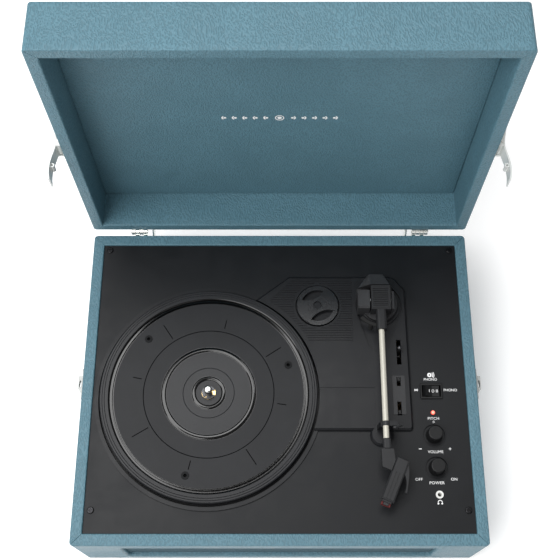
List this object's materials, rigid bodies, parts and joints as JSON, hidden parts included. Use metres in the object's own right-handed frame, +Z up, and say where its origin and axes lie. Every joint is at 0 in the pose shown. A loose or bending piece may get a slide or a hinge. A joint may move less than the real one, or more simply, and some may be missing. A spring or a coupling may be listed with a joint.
{
  "type": "suitcase record player",
  "caption": "Portable belt-drive record player in a leatherette suitcase, with a hinged lid, straight tonearm, stored adapter, knobs, side latches and a folding handle.",
  "frame": {"origin": "on the floor, at the bottom centre of the box around the open player", "axes": "+Z up along the record spindle, +X to the right of someone facing the deck, +Y towards the hinge and the open lid"},
  "size_m": [0.3686, 0.3452, 0.3769],
  "materials": {
    "leatherette": "pebble grain leatherette over board",
    "grille_cloth": "woven speaker cloth",
    "deck_plastic": "fine spark-eroded texture",
    "plinth_plastic": "satin moulded plastic",
    "platter_plastic": "satin moulded plastic with fine rings",
    "arm_plastic": "satin moulded plastic",
    "knob_plastic": "satin moulded plastic",
    "white_plastic": "moulded",
    "red_plastic": "moulded",
    "lamp": "clear red lens, lit",
    "arm_metal": "polished tube",
    "steel": "turned steel",
    "dark_steel": "black oxide",
    "nickel": "bright nickel plate",
    "brass": "turned brass",
    "rubber": "moulded",
    "wood": "sawn softwood and board",
    "circuit_board": "solder resist",
    "speaker_cone": "pressed pulp"
  },
  "bodies": {
    "case": {"front_wall": "leatherette", "back_wall": "leatherette", "side_walls": "leatherette", "bottom_board": "wood", "corner_blocks": "wood", "feet": "rubber", "deck_plate": "deck_plastic", "deck_screws": "dark_steel", "speaker_grille": "grille_cloth", "speakers": "speaker_cone", "amplifier_board": "circuit_board", "rocker_housing": "knob_plastic", "power_led": "lamp", "headphone_jack": "white_plastic", "potentiometers": "steel", "rear_plate": "knob_plastic", "line_sockets": "nickel", "dc_inlet": "knob_plastic", "mechanism_plinth": "plinth_plastic", "motor": "steel", "motor_mounts": "rubber", "drive_belt": "rubber", "spindle": "nickel", "spindle_clip": "dark_steel", "arm_base": "plinth_plastic", "arm_rest": "plinth_plastic", "switch_plate": "arm_plastic", "hinge_base_leaves": "nickel", "hinge_pins": "nickel", "latch_keepers": "nickel"},
    "lid": {"lid_end_walls": "leatherette", "lid_side_walls": "leatherette", "lid_board": "leatherette", "hinge_lid_leaves": "nickel", "latch_plates": "nickel", "latch_pins": "nickel", "handle_brackets": "nickel"},
    "platter": {"platter": "platter_plastic", "platter_bush": "brass"},
    "motor_rotor": {"motor_pulley": "brass"},
    "arm_turn": {"arm_yoke": "arm_plastic", "arm_pivot_pin": "steel"},
    "arm_lift": {"arm_block": "arm_plastic", "arm_tube": "arm_metal", "headshell_neck": "arm_plastic", "headshell": "arm_plastic", "cartridge": "arm_plastic", "stylus": "red_plastic"},
    "cue_lever": {"cue_lever": "dark_steel"},
    "cue_pad": {"cue_pad": "rubber"},
    "arm_clip": {"arm_clip": "arm_plastic"},
    "pitch_knob": {"pitch_knob": "knob_plastic"},
    "volume_knob": {"volume_knob": "knob_plastic"},
    "rocker": {"rocker": "knob_plastic"},
    "stop_lever": {"stop_lever": "knob_plastic"},
    "speed_lever": {"speed_lever": "knob_plastic"},
    "adapter_45": {"adapter_45": "arm_plastic"},
    "latch_left": {"latch_hasp_left": "nickel"},
    "latch_right": {"latch_hasp_right": "nickel"},
    "handle": {"carry_handle": "leatherette"}
  },
  "joints": [
    {"name": "lid_hinge", "type": "hinge", "parent": "case", "child": "lid", "pos_m": [0, 0.11528, 0.08896], "axis": [-1, 0, 0], "range_deg": [-90, 0]},
    {"name": "platter_spin", "type": "hinge", "parent": "case", "child": "platter", "pos_m": [-0.0623, -0.04332, 0.0935], "axis": [0, 0, 1], "continuous": true},
    {"name": "motor_spin", "type": "hinge", "parent": "case", "child": "motor_rotor", "pos_m": [-0.11604, 0.01042, 0.084], "axis": [0, 0, 1], "continuous": true},
    {"name": "tonearm_swing", "type": "hinge", "parent": "case", "child": "arm_turn", "pos_m": [0.0905, 0.03938, 0.095], "axis": [0, 0, -1], "range_deg": [0, 43]},
    {"name": "tonearm_lift", "type": "hinge", "parent": "arm_turn", "child": "arm_lift", "pos_m": [0.0905, 0.03938, 0.104], "axis": [-1, 0, 0], "range_deg": [0, 3.5]},
    {"name": "cue_lever_tilt", "type": "hinge", "parent": "case", "child": "cue_lever", "pos_m": [0.1068, -0.00512, 0.0792], "axis": [1, 0, 0], "range_deg": [0, 40]},
    {"name": "cue_pad_rise", "type": "slide", "parent": "case", "child": "cue_pad", "axis": [0, 0, 1], "range_m": [0, 0.0014]},
    {"name": "arm_clip_close", "type": "hinge", "parent": "case", "child": "arm_clip", "pos_m": [0.0986, -0.07412, 0.1056], "axis": [0, -1, 0], "range_deg": [0, 78]},
    {"name": "pitch_turn", "type": "hinge", "parent": "case", "child": "pitch_knob", "pos_m": [0.1343, -0.07942, 0.09], "axis": [0, 0, -1], "range_deg": [-135, 135]},
    {"name": "volume_turn", "type": "hinge", "parent": "case", "child": "volume_knob", "pos_m": [0.1349, -0.10762, 0.09], "axis": [0, 0, -1], "range_deg": [-150, 150]},
    {"name": "rocker_tilt", "type": "hinge", "parent": "case", "child": "rocker", "pos_m": [0.1342, -0.04012, 0.0848], "axis": [0, -1, 0], "range_deg": [0, 24]},
    {"name": "stop_slide", "type": "slide", "parent": "case", "child": "stop_lever", "axis": [0, -1, 0], "range_m": [0, 0.0036]},
    {"name": "speed_slide", "type": "slide", "parent": "case", "child": "speed_lever", "axis": [0, 1, 0], "range_m": [0, 0.0076]},
    {"name": "adapter_lift", "type": "slide", "parent": "case", "child": "adapter_45", "axis": [0, 0, 1], "range_m": [0, 0.02]},
    {"name": "latch_left_swing", "type": "hinge", "parent": "lid", "child": "latch_left", "pos_m": [-0.1782, 0.12028, 0.23686], "axis": [0, 0, -1], "range_deg": [-8, 18]},
    {"name": "latch_right_swing", "type": "hinge", "parent": "lid", "child": "latch_right", "pos_m": [0.1782, 0.12028, 0.23686], "axis": [0, 0, 1], "range_deg": [-8, 18]},
    {"name": "handle_fold", "type": "hinge", "parent": "lid", "child": "handle", "pos_m": [0, 0.16462, 0.23486], "axis": [1, 0, 0], "range_deg": [0, 175]}
  ],
  "couplings": [
    {"joint": "motor_spin", "follows": "platter_spin", "ratio": 12.4},
    {"joint": "cue_lever_tilt", "follows": "tonearm_lift", "ratio": 10.286},
    {"joint": "cue_pad_rise", "follows": "tonearm_lift", "m_per_rad": 0.0224}
  ]
}
